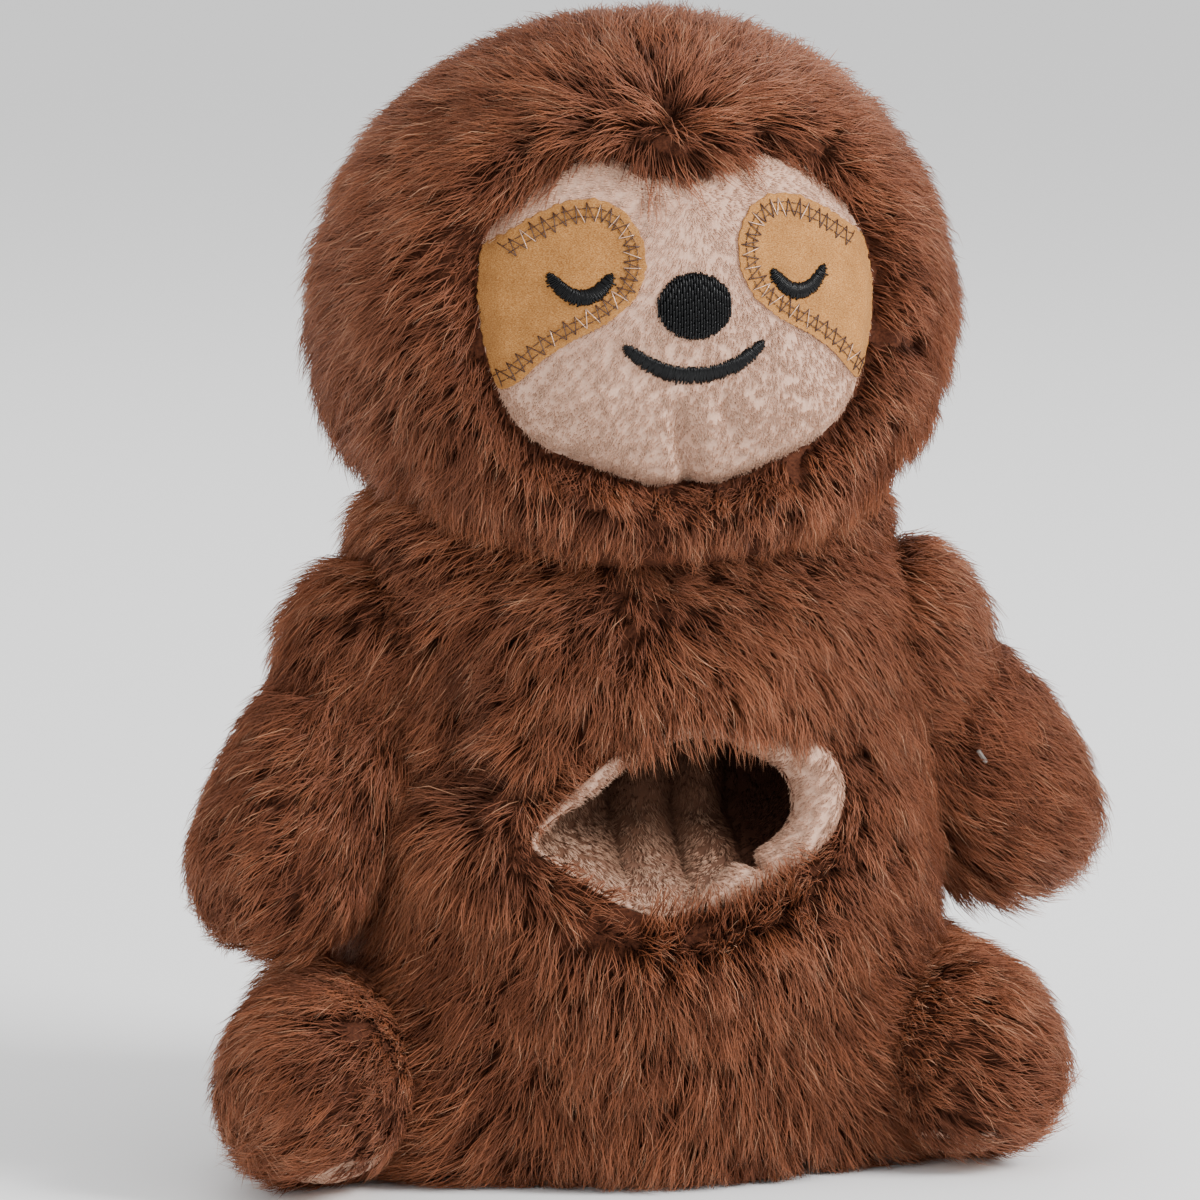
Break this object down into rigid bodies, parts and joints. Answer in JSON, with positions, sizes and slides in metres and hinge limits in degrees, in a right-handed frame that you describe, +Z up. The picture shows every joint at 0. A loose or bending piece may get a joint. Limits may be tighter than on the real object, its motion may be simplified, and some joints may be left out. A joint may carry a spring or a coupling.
{
  "type": "plush sloth",
  "caption": "Seated stuffed sloth in long brown fur with a cream face, closed stitched eyes, jointed head, arms and legs, and an open lined pocket in the belly.",
  "frame": {"origin": "middle of the base panel's underside, on the floor", "axes": "+Z up through the head, -Y the way the face looks, +X the toy's own left"},
  "size_m": [0.2559, 0.1512, 0.309],
  "materials": {
    "brown_fur": "matte",
    "cream_plush": "matte",
    "tan_suede": "matte",
    "black_thread": "satin",
    "stuffing": "matte",
    "pellet_cloth": "matte",
    "tag_plastic": "satin"
  },
  "bodies": {
    "body": {"body_cover": "brown_fur", "body_filling": "stuffing", "pocket_rim": "cream_plush", "pocket_lining": "cream_plush", "base_panel": "brown_fur", "pellet_bag": "pellet_cloth"},
    "head": {"head_cover": "brown_fur", "head_filling": "stuffing", "face_panel": "cream_plush", "eye_patch_left": "tan_suede", "eye_patch_right": "tan_suede", "closed_eye_left": "black_thread", "closed_eye_right": "black_thread", "nose": "black_thread", "mouth": "black_thread"},
    "arm_left": {"arm_left_cover": "brown_fur", "arm_left_filling": "stuffing", "tag_bar": "tag_plastic"},
    "arm_right": {"arm_right_cover": "brown_fur", "arm_right_filling": "stuffing"},
    "leg_left": {"leg_left_cover": "brown_fur", "leg_left_filling": "stuffing", "sole_left": "cream_plush"},
    "leg_right": {"leg_right_cover": "brown_fur", "leg_right_filling": "stuffing", "sole_right": "cream_plush"}
  },
  "joints": [
    {"name": "head_turn", "type": "hinge", "parent": "body", "child": "head", "pos_m": [0, 0, 0.226], "axis": [0, 0, 1], "range_deg": [-25, 25], "stiffness_Nm_per_rad": 0.3},
    {"name": "arm_left_lift", "type": "hinge", "parent": "body", "child": "arm_left", "pos_m": [0.069, -0.004, 0.1366], "axis": [0, -1, 0], "range_deg": [0, 55]},
    {"name": "arm_right_lift", "type": "hinge", "parent": "body", "child": "arm_right", "pos_m": [-0.069, -0.004, 0.1366], "axis": [0, 1, 0], "range_deg": [0, 60]},
    {"name": "leg_left_splay", "type": "hinge", "parent": "body", "child": "leg_left", "pos_m": [0.077, 0.005, 0.0285], "axis": [0, 0, 1], "range_deg": [0, 25]},
    {"name": "leg_right_splay", "type": "hinge", "parent": "body", "child": "leg_right", "pos_m": [-0.077, 0.005, 0.0285], "axis": [0, 0, -1], "range_deg": [0, 25]}
  ]
}
